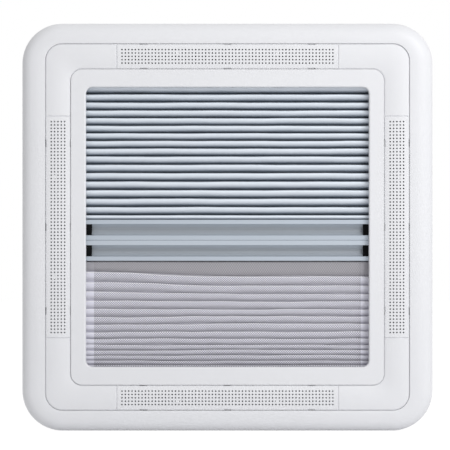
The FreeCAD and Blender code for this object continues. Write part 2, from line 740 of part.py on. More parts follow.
def build_parts():
    parts = {"bezel": build_bezel(), "inner_frame": build_inner_frame(), "collar": build_collar()}
    corners = {"top_left": (-1, 1), "top_right": (1, 1), "bottom_left": (-1, -1), "bottom_right": (1, -1)}
    for name, signs in corners.items():
        parts["corner_cover_" + name] = build_corner_cover(*signs)
    for side in SIDES:
        parts["grille_" + side] = build_grille(side)
    for name, sign in (("left", -1), ("right", 1)):
        parts["rail_" + name] = build_guide_rail(sign)
        parts["glide_blind_" + name] = build_glide(blind_bar_z, sign)
        parts["glide_screen_" + name] = build_glide(screen_bar_z, sign)
    parts["head_rail"] = build_end_rail(1)
    parts["foot_rail"] = build_end_rail(-1)
    parts["blind_bar"] = build_bar(blind_bar_z, 1)
    parts["screen_bar"] = build_bar(screen_bar_z, -1)
    step = bar_wall + retainer_gap
    clear_x = bar_end_x - spigot_length - past
    under = step + retainer_thickness
    parts["retainer_blind_head"] = build_retainer(end_rail_z + step, clear_x)
    parts["retainer_blind_bar"] = build_retainer(blind_bar_z + bar_height - under, clear_x)
    parts["retainer_screen_bar"] = build_retainer(screen_bar_z + step, clear_x)
    parts["retainer_screen_foot"] = build_retainer(-end_rail_z - under, clear_x)
    parts["blackout_fabric"] = pleated_sheet(blackout_creases())
    parts["insect_screen"] = pleated_sheet(screen_creases())
    parts["collar_screws"] = pan_screws(ear_points(), y_floor_back + ear_thickness,
                                        ear_thickness + floor + collar_boss_height - screw_stop)
    ends = [(sx * rail_screw_x, sz * (end_rail_z + rail_screw_inset)) for sx in (-1, 1) for sz in (-1, 1)]
    parts["rail_screws"] = pan_screws(ends, y_rail_back, rail_leg + rail_screw_reach)
    return parts


os.makedirs("parts", exist_ok=True)
for name, shape in build_parts().items():
    shape.exportStep(os.path.join("parts", name + ".step"))
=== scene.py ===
import math
import bmesh
import bpy
import numpy as np
from mathutils import Matrix, Vector


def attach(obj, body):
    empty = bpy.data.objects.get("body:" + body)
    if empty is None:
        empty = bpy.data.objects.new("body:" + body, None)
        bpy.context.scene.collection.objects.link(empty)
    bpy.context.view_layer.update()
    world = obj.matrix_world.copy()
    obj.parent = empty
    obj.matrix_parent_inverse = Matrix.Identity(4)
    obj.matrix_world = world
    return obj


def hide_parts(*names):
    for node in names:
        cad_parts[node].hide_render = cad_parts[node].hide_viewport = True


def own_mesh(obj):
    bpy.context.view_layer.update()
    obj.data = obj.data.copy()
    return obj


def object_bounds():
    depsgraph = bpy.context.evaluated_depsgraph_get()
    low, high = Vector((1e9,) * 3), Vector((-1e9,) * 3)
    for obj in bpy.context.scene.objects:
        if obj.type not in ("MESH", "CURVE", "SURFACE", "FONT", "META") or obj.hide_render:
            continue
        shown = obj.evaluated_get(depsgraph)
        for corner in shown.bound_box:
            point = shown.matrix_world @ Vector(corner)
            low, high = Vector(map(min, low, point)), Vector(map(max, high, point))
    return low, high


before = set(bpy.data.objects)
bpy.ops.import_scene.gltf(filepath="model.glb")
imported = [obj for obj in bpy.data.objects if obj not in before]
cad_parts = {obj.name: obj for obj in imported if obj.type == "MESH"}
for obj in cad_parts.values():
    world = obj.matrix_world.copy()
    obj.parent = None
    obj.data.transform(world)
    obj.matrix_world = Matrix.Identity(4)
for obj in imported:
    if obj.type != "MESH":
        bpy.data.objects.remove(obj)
cad_low, cad_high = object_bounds()

# ---- Studio: a pale floor under the standing frame, a white surround that lights it more from above than
# from straight in front, and one large soft lamp at the upper right. The camera faces the room side.
MM = 0.001
LENS = 240.0
VIEW_WIDTH = 540.0 * MM
AIM = (-2.9 * MM, -7.0 * MM, 2.5 * MM)
FLOOR_SIZE = 12.0
FLOOR_GAP = 0.5 * MM
FLOOR_GLOW, GLOW_SHARE = 1.16, 0.80
SURROUND, FROM_RIGHT, FROM_ABOVE, LESS_IN_FRONT = 0.475, 0.08, 0.28, 0.20
LAMP_SIZE = (1.0, 0.9)
LAMP_PLACE = Vector((1.22, -1.95, 1.02))
LAMP_POWER = 29.0

camera = bpy.data.objects.new("camera", bpy.data.cameras.new("camera"))
bpy.context.scene.collection.objects.link(camera)
camera.data.lens = LENS
camera.location = (AIM[0], AIM[1] - VIEW_WIDTH * LENS / camera.data.sensor_width, AIM[2])
camera.rotation_euler = (math.radians(90), 0, 0)
bpy.context.scene.camera = camera
bpy.context.scene.view_settings.view_transform = "Standard"


class Wire:
    """An output socket in a node tree. Arithmetic on it adds Math nodes."""

    def __init__(self, graph, socket):
        self.graph = graph
        self.socket = socket

    def _math(self, operation, *values):
        return self.graph.node("ShaderNodeMath", {"operation": operation}, dict(enumerate(values)))

    def __add__(self, other):
        return self._math("ADD", self, other)

    def __sub__(self, other):
        return self._math("SUBTRACT", self, other)

    def __rsub__(self, other):
        return self._math("SUBTRACT", other, self)

    def __mul__(self, other):
        return self._math("MULTIPLY", self, other)

    def __truediv__(self, other):
        return self._math("DIVIDE", self, other)

    def __rtruediv__(self, other):
        return self._math("DIVIDE", other, self)

    def __gt__(self, other):
        return self._math("GREATER_THAN", self, other)

    def __lt__(self, other):
        return self._math("LESS_THAN", self, other)

    def __abs__(self):
        return self._math("ABSOLUTE", self)

    __radd__ = __add__
    __rmul__ = __mul__

    def sine(self):
        return self._math("SINE", self)

    def power(self, exponent):
        return self._math("POWER", self, exponent)

    def highest(self, other):
        return self._math("MAXIMUM", self, other)

    def lowest(self, other):
        return self._math("MINIMUM", self, other)

    def out(self, name):
        """Another output of the same node."""
        return Wire(self.graph, self.socket.node.outputs[name])


class Graph:
    """A node tree being built."""

    def __init__(self, tree):
        self.tree = tree

    def node(self, kind, settings=None, inputs=None, output=0):
        """Adds a node, its settings first and then the values or links of its sockets. Returns one output."""
        made = self.tree.nodes.new(kind)
        for name, value in (settings or {}).items():
            setattr(made, name, value)
        for name, value in (inputs or {}).items():
            socket = made.inputs[name]
            if isinstance(value, Wire):
                self.tree.links.new(value.socket, socket)
            else:
                socket.default_value = value
        return Wire(self, made.outputs[output]) if made.outputs else None

    def blend(self, amount, colour_a, colour_b):
        """A colour between two."""
        return self.node("ShaderNodeMix", {"data_type": "RGBA"}, {0: amount, 6: colour_a, 7: colour_b}, 2)

    def noise(self, place, scale, detail=2.0):
        return self.node("ShaderNodeTexNoise", None, {"Vector": place, "Scale": scale, "Detail": detail})

    def stretched(self, place, scale):
        return self.node("ShaderNodeVectorMath", {"operation": "MULTIPLY"}, {0: place, 1: scale})

    def split(self, vector):
        """The three numbers of a vector."""
        parts = self.node("ShaderNodeSeparateXYZ", None, {0: vector})
        return parts, parts.out("Y"), parts.out("Z")


def new_material(name):
    material = bpy.data.materials.new(name)
    material.use_nodes = True
    material.node_tree.nodes.clear()
    return material, Graph(material.node_tree)


def surface(graph, shader):
    graph.node("ShaderNodeOutputMaterial", None, {"Surface": shader})


def seen_directly(graph):
    """1 for the rays that show the white background: to the camera, and by way of gloss or glass."""
    rays = graph.node("ShaderNodeLightPath")
    return rays.highest(rays.out("Is Glossy Ray")).highest(rays.out("Is Transmission Ray"))


bpy.ops.mesh.primitive_plane_add(size=FLOOR_SIZE, location=(0, 0, cad_low.z - FLOOR_GAP))
floor = bpy.context.object
floor.name = "floor"
floor_material, g = new_material("floor_paint")
matt = g.node("ShaderNodeBsdfDiffuse", None, {"Color": (0.86, 0.86, 0.87, 1)})
glow = g.node("ShaderNodeEmission", None, {"Color": (1, 1, 1, 1), "Strength": FLOOR_GLOW})
surface(g, g.node("ShaderNodeMixShader", None, {0: seen_directly(g) * GLOW_SHARE, 1: matt, 2: glow}))
floor.data.materials.append(floor_material)

world = bpy.data.worlds.new("studio")
bpy.context.scene.world = world
world.use_nodes = True
world.node_tree.nodes.clear()
g = Graph(world.node_tree)
toward_right, toward_back, upward = g.split(g.node("ShaderNodeTexCoord"))
level = (SURROUND + FROM_RIGHT * toward_right + FROM_ABOVE * upward
         - LESS_IN_FRONT * (0 - toward_back).highest(0).power(3))
dark = g.node("ShaderNodeBackground", None, {"Color": (1, 1, 1, 1), "Strength": 0.0})
white = g.node("ShaderNodeBackground", None, {"Color": (1, 1, 1, 1), "Strength": 1.0})
walls = g.node("ShaderNodeMixShader", None, {0: level.highest(0).lowest(1), 1: dark, 2: white})
around = g.node("ShaderNodeMixShader", None, {0: seen_directly(g), 1: walls, 2: white})
g.node("ShaderNodeOutputWorld", None, {"Surface": around})

light = bpy.data.lights.new("key_lamp", "AREA")
light.shape = "RECTANGLE"
light.size, light.size_y = LAMP_SIZE
light.energy = LAMP_POWER
key_lamp = bpy.data.objects.new("key_lamp", light)
bpy.context.scene.collection.objects.link(key_lamp)
key_lamp.location = LAMP_PLACE
key_lamp.rotation_euler = (-LAMP_PLACE).to_track_quat("-Z", "Y").to_euler()

# ---- Bezel: the outer moulding with its rolled edge, injection moulded in white ABS with a satin texture.
# Its channel floor is screwed to the roof frame through the standoffs. The outer skin is drawn ring by ring,
# and the channel, ribs and standoffs come from the CAD node.
BEZEL_HALF = (246.0 * MM, 244.0 * MM, 48.0 * MM)
BEZEL_FACE = -22.0 * MM
ROLL = 15.0 * MM
CROWN_WIDE, CROWN_DROP = 9.0 * MM, 1.0 * MM
CROWN_RADIUS = (CROWN_WIDE ** 2 + CROWN_DROP ** 2) / (2 * CROWN_DROP)
ROLL_SLOPE = math.asin(CROWN_WIDE / CROWN_RADIUS)
ROLL_END = ROLL * (1 - math.sin(ROLL_SLOPE))
RIM_Y = BEZEL_FACE + CROWN_DROP + ROLL * math.cos(ROLL_SLOPE)
CORNER_STEPS = 20
ROLL_ROWS, CROWN_ROWS = 15, 7
PLAY = 0.02 * MM
FACET_PLAY = 0.4 * MM          # the CAD node's facets lie this near the true curve


def moulded_plastic(name, light, dark, depth):
    material, g = new_material(name)
    place = g.node("ShaderNodeTexCoord", output="Object")
    mottle = g.noise(place, 14.0, 4.0)
    grain = g.noise(place, 1500.0, 2.0)
    bump = g.node("ShaderNodeBump", None, {"Strength": 0.25, "Distance": depth, "Height": grain})
    skin = g.node("ShaderNodeBsdfPrincipled", None, {
        "Base Color": g.blend(mottle, dark, light),
        "Roughness": 0.36 + 0.1 * mottle + 0.06 * grain,
        "Normal": bump,
        "IOR": 1.48,
    })
    surface(g, skin)
    return material


white_plastic = moulded_plastic("white_moulding", light=(0.80, 0.805, 0.83, 1), dark=(0.77, 0.775, 0.80, 1),
                                depth=0.00002)


def finish_piece(piece, material, body, nodes, smooth_angle=35):
    """Shades a finished mesh, gives it its material and sets it on its body."""
    mesh = piece.data
    mesh.materials.clear()
    mesh.materials.append(material)
    mesh.shade_smooth()
    mesh.set_sharp_from_angle(angle=math.radians(smooth_angle))
    level = piece.modifiers.new("even_shading", "WEIGHTED_NORMAL")
    level.keep_sharp = True
    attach(piece, body)
    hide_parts(*nodes)


def new_piece(name, mesh):
    piece = bpy.data.objects.new(name, mesh)
    bpy.context.scene.collection.objects.link(piece)
    return piece


def mesh_from(name, shape):
    """The mesh of a drawn shape."""
    mesh = bpy.data.meshes.new(name)
    shape.to_mesh(mesh)
    shape.free()
    return mesh


def put_closed(shape, mesh):
    """Puts a closed drawn shape into this mesh, its faces turned outwards."""
    bmesh.ops.recalc_face_normals(shape, faces=shape.faces)
    shape.to_mesh(mesh)
    shape.free()


def merged_copy(name, node):
    """A piece with a CAD node's shape, its facets joined so that curves shade smoothly."""
    shape = bmesh.new()
    shape.from_mesh(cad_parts[node].data)
    bmesh.ops.remove_doubles(shape, verts=shape.verts, dist=1e-6)
    bmesh.ops.dissolve_degenerate(shape, edges=shape.edges, dist=1e-7)
    return new_piece(name, mesh_from(name, shape))


def grown(size, by):
    """A rounded rectangle's half width, half height and corner radius, moved outwards."""
    return tuple(value + by for value in size)


def outline_points(half_x, half_z, radius):
    """Rounded rectangle, anticlockwise as seen from the room, with the same count whatever its size."""
    points = []
    for quarter, (sign_x, sign_z) in enumerate(((1, 1), (-1, 1), (-1, -1), (1, -1))):
        for n in range(CORNER_STEPS + 1):
            turn = math.radians(90) * (quarter + n / CORNER_STEPS)
            points.append((sign_x * (half_x - radius) + radius * math.cos(turn),
                           sign_z * (half_z - radius) + radius * math.sin(turn)))
    return points


def from_edge(x, z):
    """Distance of a point inwards from the bezel's outline."""
    half_x, half_z, radius = BEZEL_HALF
    over_x, over_z = abs(x) - (half_x - radius), abs(z) - (half_z - radius)
    if over_x > 0 and over_z > 0:
        return radius - math.hypot(over_x, over_z)
    return min(half_x - abs(x), half_z - abs(z))


def ring_rows(shape, levels):
    """Adds faces through these (half_x, half_z, radius, y) outlines. Returns the rows of points."""
    rows = []
    for half_x, half_z, radius, y in levels:
        rows.append([shape.verts.new((x, y, z)) for x, z in outline_points(half_x, half_z, radius)])
    for one, two in zip(rows, rows[1:]):
        for n in range(len(one)):
            m = (n + 1) % len(one)
            shape.faces.new((one[n], one[m], two[m], two[n]))
    return rows


def skin_y(u):
    """Depth of the rolled edge and crown at this distance from the outline."""
    if u < ROLL_END:
        return RIM_Y - math.sqrt(max(0.0, ROLL ** 2 - (ROLL - u) ** 2))
    across = max(0.0, ROLL_END + CROWN_WIDE - u)
    return BEZEL_FACE + CROWN_RADIUS - math.sqrt(CROWN_RADIUS ** 2 - across ** 2)


def in_outer_skin(face):
    """True for a face of the rim, the roll, the crown or the flat as far as the seam."""
    spots = [(from_edge(v.co.x, v.co.z), v.co.y) for v in face.verts]
    if all(abs(y - BEZEL_FACE) < PLAY for u, y in spots):
        return True
    if all(u < PLAY and y < PLAY for u, y in spots):
        return True
    return all(u < ROLL + PLAY and y < skin_y(u) + FACET_PLAY for u, y in spots)


bezel = merged_copy("bezel_moulding", "bezel")
shape = bmesh.new()
shape.from_mesh(bezel.data)
bmesh.ops.delete(shape, geom=[face for face in shape.faces if in_outer_skin(face)], context="FACES")
rims = [edge for edge in shape.edges if edge.is_boundary]
back_rim = [edge for edge in rims if edge.verts[0].co.y > RIM_Y]
seam_rim = [edge for edge in rims if edge.verts[0].co.y < RIM_Y]
levels = [(*BEZEL_HALF, RIM_Y / 2)]
levels += [(*grown(BEZEL_HALF, ROLL * (math.cos(a) - 1)), RIM_Y - ROLL * math.sin(a))
           for a in np.linspace(0, math.radians(90) - ROLL_SLOPE, ROLL_ROWS)]
levels += [(*grown(BEZEL_HALF, -u), skin_y(u))
           for u in np.linspace(ROLL_END, ROLL_END + CROWN_WIDE, CROWN_ROWS)[1:]]
rows = ring_rows(shape, levels)
for row, rim in ((rows[0], back_rim), (rows[-1], seam_rim)):
    own = [shape.edges.get((row[n - 1], row[n])) for n in range(len(row))]
    bmesh.ops.bridge_loops(shape, edges=own + rim)
put_closed(shape, bezel.data)
finish_piece(bezel, white_plastic, "frame", ["bezel"])

# ---- Inner frame: a flat plate round the opening with a rounded lip, injection moulded in the same ABS.
# Hooks on its lip catch behind the channel floor; they are not drawn here.
OPENING = (169.3 * MM, 167.3 * MM, 8.0 * MM)
PLATE = (187.25 * MM, 188.75 * MM, 13.55 * MM)
FACE_Y = -20.5 * MM
LIP_ROUND = 2.0 * MM
EDGE_ROUND = 0.6 * MM
EDGE_STEPS, LIP_STEPS = 3, 6
WALL = 2.2 * MM
FLOOR_FRONT = -14.0 * MM
FLOOR_BACK = -11.5 * MM


def closed_mesh(name, shape):
    mesh = bpy.data.meshes.new(name)
    put_closed(shape, mesh)
    return mesh


def closed_band(name, levels):
    """A ring whose section runs through these (half_x, half_z, radius, y) outlines and back to the first."""
    shape = bmesh.new()
    rows = ring_rows(shape, levels)
    for n in range(len(rows[0])):
        m = (n + 1) % len(rows[0])
        shape.faces.new((rows[-1][n], rows[-1][m], rows[0][m], rows[0][n]))
    return closed_mesh(name, shape)


def quarter_round(steps):
    """(inwards, up) shares of a radius along a rounded edge."""
    return [(1 - math.cos(a), math.sin(a)) for a in (math.pi / 2 * n / steps for n in range(steps + 1))]


plate_levels = [(*grown(PLATE, -EDGE_ROUND * inward), FACE_Y + EDGE_ROUND * (1 - up))
                for inward, up in quarter_round(EDGE_STEPS)]
plate_levels += [(*grown(OPENING, LIP_ROUND * inward), FACE_Y + LIP_ROUND * (1 - up))
                 for inward, up in reversed(quarter_round(LIP_STEPS))]
plate_levels += [(*OPENING, FLOOR_BACK), (*grown(OPENING, WALL), FLOOR_BACK),
                 (*grown(OPENING, WALL), FACE_Y + WALL), (*grown(PLATE, -WALL), FACE_Y + WALL),
                 (*grown(PLATE, -WALL), FLOOR_FRONT), (*PLATE, FLOOR_FRONT)]
inner_plate = new_piece("inner_frame_moulding", closed_band("inner_frame_moulding", plate_levels))
finish_piece(inner_plate, white_plastic, "frame", ["inner_frame"])

# ---- Corner covers: crowned L-shaped lids, injection moulded in white ABS. They stand in the channel between
# the grilles and hide its floor.
COVER_IN = (188.15 * MM, 189.65 * MM, 14.45 * MM)
COVER_OUT = (216.95 * MM, 218.45 * MM, 19.55 * MM)
COVER_START = 132.95 * MM
EDGE_IN_Y = -19.95 * MM
EDGE_OUT_Y = -21.35 * MM
CROWN = 1.5 * MM
SOFT_EDGE = 0.8 * MM
TONGUE = 0.6 * MM
TONGUE_DROP = 1.1 * MM
UNDER_Y = -18.3 * MM
ACROSS = 22
STRAIGHT_STATIONS, BEND_STATIONS = 9, 33
SOFT_TURNS = (30, 60, 90)      # degrees round the soft edge


def crown_depth(share):
    """Depth of a cover's face at this share of the way from its inner edge to its outer edge."""
    return EDGE_IN_Y + (EDGE_OUT_Y - EDGE_IN_Y) * share - 4 * CROWN * share * (1 - share)


def corner_stations(inset):
    """Pairs of plan points, inner and outer, along an L that runs from the top side to the right side."""
    in_x, in_z, in_r = grown(COVER_IN, inset)
    out_x, out_z, out_r = grown(COVER_OUT, -inset)
    start = COVER_START + inset
    centre = (in_x - in_r, in_z - in_r)
    far = (out_x - out_r, out_z - out_r)
    stations = [((x, in_z), (x, out_z))
                for x in np.linspace(start, centre[0], STRAIGHT_STATIONS)[:-1]]
    for turn in np.radians(np.linspace(90, 0, BEND_STATIONS)):
        dx, dz = math.cos(turn), math.sin(turn)
        reach = min((out_z - centre[1]) / max(dz, 1e-9), (out_x - centre[0]) / max(dx, 1e-9))
        px, pz = centre[0] + reach * dx, centre[1] + reach * dz
        if px > far[0] and pz > far[1]:
            ox, oz = centre[0] - far[0], centre[1] - far[1]
            half = ox * dx + oz * dz
            reach = -half + math.sqrt(half ** 2 - (ox ** 2 + oz ** 2 - out_r ** 2))
            px, pz = centre[0] + reach * dx, centre[1] + reach * dz
        stations.append(((centre[0] + in_r * dx, centre[1] + in_r * dz), (px, pz)))
    stations += [((in_x, z), (out_x, z)) for z in np.linspace(centre[1], start, STRAIGHT_STATIONS)[1:]]
    return stations


def lid_mesh(name, stations_at):
    """A closed crowned lid with soft edges, a tongue that fills most of the seam, and skirts."""
    shape = bmesh.new()
    shares = [n / ACROSS for n in range(ACROSS + 1)]

    def grid(plan, depth):
        rows = []
        for (x0, z0), (x1, z1) in plan:
            rows.append([shape.verts.new((x0 + (x1 - x0) * s, depth(s), z0 + (z1 - z0) * s))
                         for s in shares])
        return rows

    def around(rows):
        ends = rows[0][:-1] + [row[-1] for row in rows[:-1]]
        return ends + rows[-1][:0:-1] + [row[0] for row in rows[:0:-1]]

    def tiles(rows):
        for one, two in zip(rows, rows[1:]):
            for n in range(len(shares) - 1):
                shape.faces.new((one[n], one[n + 1], two[n + 1], two[n]))

    def wall(one, two):
        for n in range(len(one)):
            m = (n + 1) % len(one)
            shape.faces.new((one[n], one[m], two[m], two[n]))

    def plan_loop(inset, depth):
        """Points round the lid at this inset. Each keeps the place that it has in the face's own loop."""
        flat = [[((x0 + (x1 - x0) * s), (z0 + (z1 - z0) * s), s) for s in shares]
                for (x0, z0), (x1, z1) in stations_at(inset)]
        return [shape.verts.new((x, depth(s), z)) for x, z, s in around(flat)]

    top = grid(stations_at(SOFT_EDGE), crown_depth)
    under = grid(stations_at(WALL), lambda s: UNDER_Y)
    tiles(top)
    tiles(under)
    loops = [around(top)]
    for turn in SOFT_TURNS:
        inset = SOFT_EDGE * (1 - math.sin(math.radians(turn)))
        drop = SOFT_EDGE * (1 - math.cos(math.radians(turn)))
        loops.append(plan_loop(inset, lambda s, drop=drop: crown_depth(s) + drop))
    loops.append(plan_loop(0, lambda s: crown_depth(s) + TONGUE_DROP))
    loops.append(plan_loop(-TONGUE, lambda s: crown_depth(s) + TONGUE_DROP))
    loops.append(plan_loop(-TONGUE, lambda s: FLOOR_FRONT))
    loops.append(plan_loop(WALL, lambda s: FLOOR_FRONT))
    loops.append(around(under))
    for one, two in zip(loops, loops[1:]):
        wall(one, two)
    return closed_mesh(name, shape)


def mirrored(mesh, sign_x, sign_z):
    """Puts a mesh drawn for the top right corner at another corner, faces outwards."""
    mesh.transform(Matrix.Diagonal((sign_x, 1, sign_z, 1)))
    if sign_x * sign_z < 0:
        mesh.flip_normals()
    return mesh


for label, sign_x, sign_z in (("top_left", -1, 1), ("top_right", 1, 1),
                              ("bottom_left", -1, -1), ("bottom_right", 1, -1)):
    name = "corner_lid_" + label
    lid = new_piece(name, mirrored(lid_mesh(name, corner_stations), sign_x, sign_z))
    finish_piece(lid, white_plastic, "frame", ["corner_cover_" + label], smooth_angle=40)

# ---- Grilles: crowned strips with 64 by 5 round air holes, injection moulded in white ABS. They snap into
# the channel by tabs, and small notches in their long edges let them be prised out.
PITCH = 4.0 * MM
HOLE_RADIUS = 0.95 * MM
COLUMNS = 64
ROWS = 5
SEAM = 0.9 * MM
STRIP_HALF = (COVER_START - SEAM, (COVER_OUT[0] - COVER_IN[0]) / 2)
TAB_SPACING = 100.0 * MM
TAB_HALF = 5.0 * MM
NOTCH = 0.6 * MM
HOLE_SIDES = 16
TOUCH = 1e-5                   # points this near each other count as one
NEAR_ZERO = 1e-6


def grille_tree():
    """A strip drawn flat, x along it and y outwards, with its height as z."""
    tree = bpy.data.node_groups.new("perforated_strip", "GeometryNodeTree")
    sizes = {"Columns": COLUMNS, "Rows": ROWS, "Pitch": PITCH, "Hole radius": HOLE_RADIUS,
             "Half length": STRIP_HALF[0], "Half width": STRIP_HALF[1], "Wall": WALL,
             "Skirt foot": -FLOOR_FRONT, "Underside": -UNDER_Y, "Inner edge height": -EDGE_IN_Y,
             "Outer edge height": -EDGE_OUT_Y, "Crown": CROWN, "Soft edge": SOFT_EDGE, "Tongue": TONGUE,
             "Tongue drop": TONGUE_DROP, "Tab spacing": TAB_SPACING, "Tab half width": TAB_HALF,
             "Notch": NOTCH}
    for label, value in sizes.items():
        kind = "NodeSocketInt" if isinstance(value, int) else "NodeSocketFloat"
        tree.interface.new_socket(label, in_out="INPUT", socket_type=kind).default_value = value
    tree.interface.new_socket("Material", in_out="INPUT", socket_type="NodeSocketMaterial")
    tree.interface.new_socket("Geometry", in_out="OUTPUT", socket_type="NodeSocketGeometry")
    g = Graph(tree)
    get = g.node("NodeGroupInput").out
    pitch, columns, rows = get("Pitch"), get("Columns"), get("Rows")

    def combine(x, y, z):
        return g.node("ShaderNodeCombineXYZ", None, {0: x, 1: y, 2: z})

    def place(geometry, selection, position):
        return g.node("GeometryNodeSetPosition", None,
                      {"Geometry": geometry, "Selection": selection, "Position": position})

    def drawn_out(mesh, selection=True):
        """The chosen edges doubled, so that the copies can be placed."""
        return g.node("GeometryNodeExtrudeMesh", {"mode": "EDGES"},
                      {"Mesh": mesh, "Selection": selection, "Offset Scale": 0.0})

    def joined(*pieces):
        join = g.node("GeometryNodeJoinGeometry")
        for piece in pieces:
            tree.links.new(piece.socket, join.socket.node.inputs[0])
        return join

    x, y, z = g.split(g.node("GeometryNodeInputPosition"))
    to_square = pitch / 2 / abs(x).highest(abs(y)).highest(NEAR_ZERO)
    on_square = combine(x * to_square, y * to_square, 0.0)
    away = (abs(x) + abs(y)) > NEAR_ZERO

    rim = g.node("GeometryNodeMeshCircle", {"fill_type": "NONE"},
                 {"Vertices": HOLE_SIDES, "Radius": get("Hole radius")})
    spread = drawn_out(rim)
    holed = place(spread, spread.out("Top"), on_square)
    fan = g.node("GeometryNodeMeshCircle", {"fill_type": "TRIANGLE_FAN"},
                 {"Vertices": HOLE_SIDES, "Radius": pitch / 2})
    plain = place(fan, away, on_square)

    field_x, field_y = columns * pitch / 2, rows * pitch / 2
    points = g.node("GeometryNodeMeshGrid", None, {
        "Size X": (columns + 1) * pitch, "Size Y": (rows + 1) * pitch,
        "Vertices X": columns + 2, "Vertices Y": rows + 2})
    inside = (abs(x) < field_x) * (abs(y) < field_y)
    with_holes = g.node("GeometryNodeInstanceOnPoints", None,
                        {"Points": points, "Selection": inside, "Instance": holed})
    without = g.node("GeometryNodeInstanceOnPoints", None,
                     {"Points": points, "Selection": 1 - inside, "Instance": plain})
    real = g.node("GeometryNodeRealizeInstances", None, {0: joined(with_holes, without)})
    sheet = g.node("GeometryNodeMergeByDistance", None, {"Geometry": real, "Distance": TOUCH})

    edge_x, edge_y = field_x + pitch, field_y + pitch
    outside = ((abs(x) > (edge_x - TOUCH)) + (abs(y) > (edge_y - TOUCH))) > 0.5
    near_tab = (abs(x) < get("Tab half width")) + (abs(abs(x) - get("Tab spacing")) < get("Tab half width"))
    long_side = abs(y) > (edge_y - TOUCH)
    bite = get("Notch") * long_side * near_tab

    def on_edge(inset, bitten):
        width = get("Half width") - inset - bitten
        return combine(x * (get("Half length") - inset) / edge_x, y * width / edge_y, z)

    def crown_height():
        share = y / get("Half width") * 0.5 + 0.5
        rise = (get("Outer edge height") - get("Inner edge height")) * share
        return get("Inner edge height") + rise + 4 * get("Crown") * share * (1 - share)

    soft = get("Soft edge")
    top_outline = place(sheet, outside, on_edge(soft, bite))
    top = place(top_outline, True, combine(x, y, crown_height()))
    bite_inside = bite * (get("Half width") - get("Wall")) / (get("Half width") - soft)
    under_outline = place(sheet, outside, on_edge(get("Wall"), bite_inside))
    flat_under = place(under_outline, True, combine(x, y, get("Underside")))
    under = g.node("GeometryNodeFlipFaces", None, {"Mesh": flat_under})

    open_edge = g.node("GeometryNodeInputMeshEdgeNeighbors") < 1.5
    rim_zone_x, rim_zone_y = field_x - pitch * 0.1, field_y - pitch * 0.1
    on_rim = open_edge * (abs(x) < rim_zone_x) * (abs(y) < rim_zone_y)
    bores = drawn_out(top, on_rim)
    strip = place(bores, bores.out("Top"), combine(x, y, get("Underside")))
    edge = open_edge * (((abs(x) > rim_zone_x) + (abs(y) > rim_zone_y)) > 0.5)
    inset = soft
    steps = []
    for turn in np.radians(SOFT_TURNS):
        steps.append((soft * (1 - math.sin(turn)), crown_height() - soft * (1 - math.cos(turn))))
    past_edge = 0.0 - get("Tongue")
    steps += [(0.0, crown_height() - get("Tongue drop")), (past_edge, crown_height() - get("Tongue drop")),
              (past_edge, get("Skirt foot")), (get("Wall"), get("Skirt foot")),
              (get("Wall"), get("Underside"))]
    for new_inset, height in steps:
        extended = drawn_out(strip, edge)
        scale_x = (get("Half length") - new_inset) / (get("Half length") - inset)
        scale_y = (get("Half width") - new_inset) / (get("Half width") - inset)
        edge = extended.out("Top")
        strip = place(extended, edge, combine(x * scale_x, y * scale_y, height))
        inset = new_inset
    closed = g.node("GeometryNodeMergeByDistance", None,
                    {"Geometry": joined(strip, under), "Distance": 2 * TOUCH})
    final = g.node("GeometryNodeRealizeInstances", None, {0: closed})
    painted = g.node("GeometryNodeSetMaterial", None, {"Geometry": final, "Material": get("Material")})
    g.node("NodeGroupOutput", None, {0: painted})
    return tree


def tree_result(name, tree, values):
    """Runs a tree on an empty mesh and returns the plain mesh that it makes."""
    holder = new_piece(name + "_maker", bpy.data.meshes.new(name + "_maker"))
    modifier = holder.modifiers.new("tree", "NODES")
    modifier.node_group = tree
    for item in tree.interface.items_tree:
        if item.in_out == "INPUT" and item.name in values:
            modifier[item.identifier] = values[item.name]
    scene_graph = bpy.context.evaluated_depsgraph_get()
    mesh = bpy.data.meshes.new_from_object(holder.evaluated_get(scene_graph))
    bpy.data.objects.remove(holder)
    mesh.name = name
    return mesh


grille_maker = grille_tree()
for side, turn, axis in (("top", 0, 1), ("right", 90, 0), ("bottom", 180, 1), ("left", 270, 0)):
    name = "grille_strip_" + side
    mesh = tree_result(name, grille_maker, {"Material": white_plastic})
    shape = bmesh.new()
    shape.from_mesh(mesh)
    put_closed(shape, mesh)
    # strip x stays along the side, strip y goes outwards and strip height goes to the room
    middle = (COVER_IN[axis] + COVER_OUT[axis]) / 2
    mesh.transform(Matrix(((1, 0, 0, 0), (0, 0, -1, 0), (0, 1, 0, middle), (0, 0, 0, 1))))
    mesh.transform(Matrix.Rotation(math.radians(turn), 4, "Y"))
    strip = new_piece(name, mesh)
    finish_piece(strip, white_plastic, "frame", ["grille_" + side], smooth_angle=30)

# ---- Collar: the sleeve that goes through the roof cut-out, injection moulded in white ABS. Four screws
# through its ears hold it to the bezel, and its ribs press the guide rails on the channel floor.
finish_piece(merged_copy("collar_moulding", "collar"), white_plastic, "frame", ["collar"])

